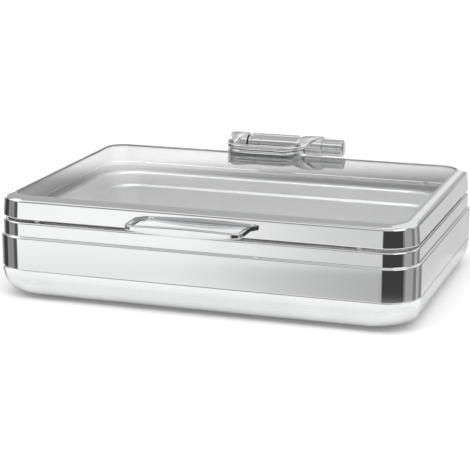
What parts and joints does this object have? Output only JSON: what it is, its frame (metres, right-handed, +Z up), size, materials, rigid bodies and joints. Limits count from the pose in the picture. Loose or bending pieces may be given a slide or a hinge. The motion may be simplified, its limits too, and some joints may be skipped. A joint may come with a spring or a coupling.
{
  "type": "chafing dish",
  "caption": "Rectangular polished steel chafing dish with a hinged glass lid, bow handle, damped rear hinge, lift-out food pan and a flat induction base.",
  "frame": {"origin": "centre of the underside of the induction plate, on the surface that the dish stands on", "axes": "+X along the length to the right seen from the front, +Y from the handle side to the hinge side, +Z up"},
  "size_m": [0.58, 0.4762, 0.1658],
  "materials": {
    "mirror_steel": "mirror polished stainless steel",
    "satin_steel": "satin stainless steel",
    "plated_steel": "bright plated fasteners and shaft",
    "spring_steel": "dull spring wire",
    "clear_glass": "clear tempered glass",
    "grey_seal": "matt silicone channel",
    "pale_silicone": "translucent white silicone",
    "dark_polymer": "moulded bearing polymer"
  },
  "bodies": {
    "base": {"water_pan": "mirror_steel", "induction_plate": "satin_steel", "deck_ring": "satin_steel", "food_pan": "satin_steel", "hinge_body": "mirror_steel", "hinge_backing_plate": "satin_steel", "bracket_screw_1": "plated_steel", "bracket_screw_2": "plated_steel", "bracket_screw_3": "plated_steel", "bracket_screw_4": "plated_steel", "hinge_shaft": "plated_steel", "shaft_plug_left": "plated_steel", "shaft_plug_right": "plated_steel", "torsion_spring": "spring_steel", "damper_rotor": "dark_polymer"},
    "lid": {"lid_frame": "mirror_steel", "lid_inner_frame": "satin_steel", "glass_seal": "grey_seal", "glass_panel": "clear_glass", "lid_bumper_1": "pale_silicone", "lid_bumper_2": "pale_silicone", "lid_bumper_3": "pale_silicone", "lid_bumper_4": "pale_silicone", "lid_handle": "mirror_steel", "handle_washer_left": "plated_steel", "handle_washer_right": "plated_steel", "handle_screw_left": "plated_steel", "handle_screw_right": "plated_steel", "hinge_arm_loop": "mirror_steel", "loop_pad": "mirror_steel", "lid_stiffener": "satin_steel", "loop_screw_1": "plated_steel", "loop_screw_2": "plated_steel", "loop_screw_3": "plated_steel", "loop_screw_4": "plated_steel", "knuckle_bush_left": "dark_polymer", "knuckle_bush_right": "dark_polymer", "damper_housing": "mirror_steel", "end_cap_left": "mirror_steel", "end_cap_right": "mirror_steel"}
  },
  "joints": [
    {"name": "lid_hinge", "type": "hinge", "parent": "base", "child": "lid", "pos_m": [0, 0.2169, 0.149], "axis": [-1, 0, 0], "range_deg": [0, 90]}
  ]
}
